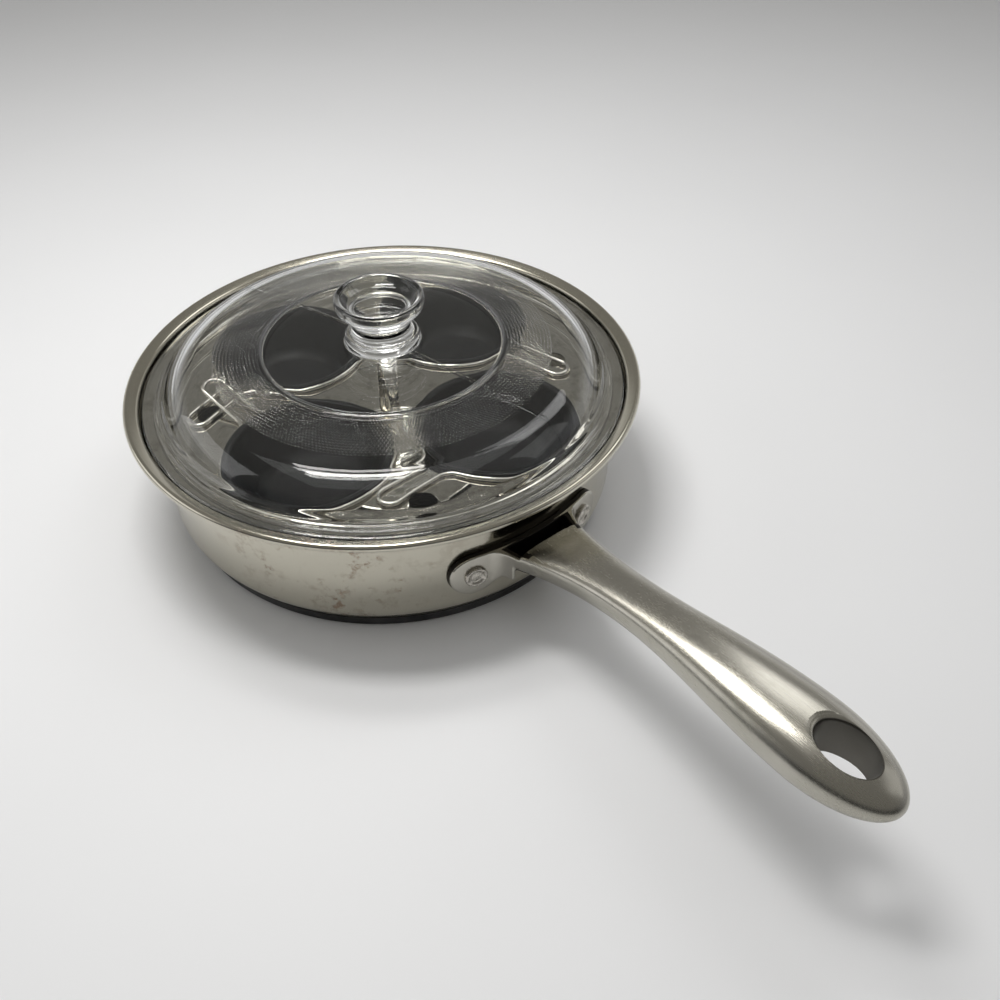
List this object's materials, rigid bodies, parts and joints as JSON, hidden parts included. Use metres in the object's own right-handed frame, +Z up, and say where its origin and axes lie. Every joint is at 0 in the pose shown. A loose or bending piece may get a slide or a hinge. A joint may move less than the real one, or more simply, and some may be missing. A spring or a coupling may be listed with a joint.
{
  "type": "egg poacher pan",
  "caption": "Stainless steel egg poacher pan with a riveted cast handle, a lift-out rack of non-stick cups with wire loops, and a pressed glass lid with a glass knob",
  "frame": {"origin": "centre of the base's underside, on the hob", "axes": "+Z up, +X from the pan's centre along the handle to its tip, +Y to the left of the handle seen from the pan"},
  "size_m": [0.44, 0.26, 0.1125],
  "materials": {
    "pan_steel": "polished pressed stainless steel, with water marks; satin rim",
    "base_aluminium": "plain rolled aluminium, enclosed",
    "base_steel": "spun stainless steel with heat tint",
    "handle_steel": "cast stainless steel, satin polished",
    "rivet_steel": "stainless steel, tumbled",
    "rack_steel": "mirror-polished pressed stainless steel",
    "lift_handle_steel": "mirror-polished stainless steel strip",
    "cup_nonstick": "dark grey non-stick coating on aluminium",
    "wire_steel": "bright drawn stainless wire",
    "lid_glass": "clear pressed glass with a stippled band"
  },
  "bodies": {
    "pan": {"pan_shell": "pan_steel", "base_core": "base_aluminium", "base_cap": "base_steel", "handle": "handle_steel", "handle_rivets": "rivet_steel"},
    "rack": {"rack_plate": "rack_steel", "rack_lift_handle": "lift_handle_steel"},
    "egg_cup_1": {"cup_1": "cup_nonstick", "cup_wire_1": "wire_steel"},
    "egg_cup_2": {"cup_2": "cup_nonstick", "cup_wire_2": "wire_steel"},
    "egg_cup_3": {"cup_3": "cup_nonstick", "cup_wire_3": "wire_steel"},
    "egg_cup_4": {"cup_4": "cup_nonstick", "cup_wire_4": "wire_steel"},
    "lid": {"glass_lid": "lid_glass"}
  },
  "joints": [
    {"name": "rack_lift", "type": "slide", "parent": "pan", "child": "rack", "axis": [0, 0, 1], "range_m": [0, 0.06]},
    {"name": "lid_lift", "type": "slide", "parent": "rack", "child": "lid", "axis": [0, 0, 1], "range_m": [0, 0.12]},
    {"name": "cup_1_lift", "type": "slide", "parent": "rack", "child": "egg_cup_1", "axis": [0, 0, 1], "range_m": [0, 0.04]},
    {"name": "cup_2_lift", "type": "slide", "parent": "rack", "child": "egg_cup_2", "axis": [0, 0, 1], "range_m": [0, 0.04]},
    {"name": "cup_3_lift", "type": "slide", "parent": "rack", "child": "egg_cup_3", "axis": [0, 0, 1], "range_m": [0, 0.04]},
    {"name": "cup_4_lift", "type": "slide", "parent": "rack", "child": "egg_cup_4", "axis": [0, 0, 1], "range_m": [0, 0.04]}
  ],
  "couplings": [
    {"joint": "cup_1_lift", "follows": "lid_lift", "ratio": 0.33},
    {"joint": "cup_2_lift", "follows": "lid_lift", "ratio": 0.33},
    {"joint": "cup_3_lift", "follows": "lid_lift", "ratio": 0.33},
    {"joint": "cup_4_lift", "follows": "lid_lift", "ratio": 0.33}
  ]
}
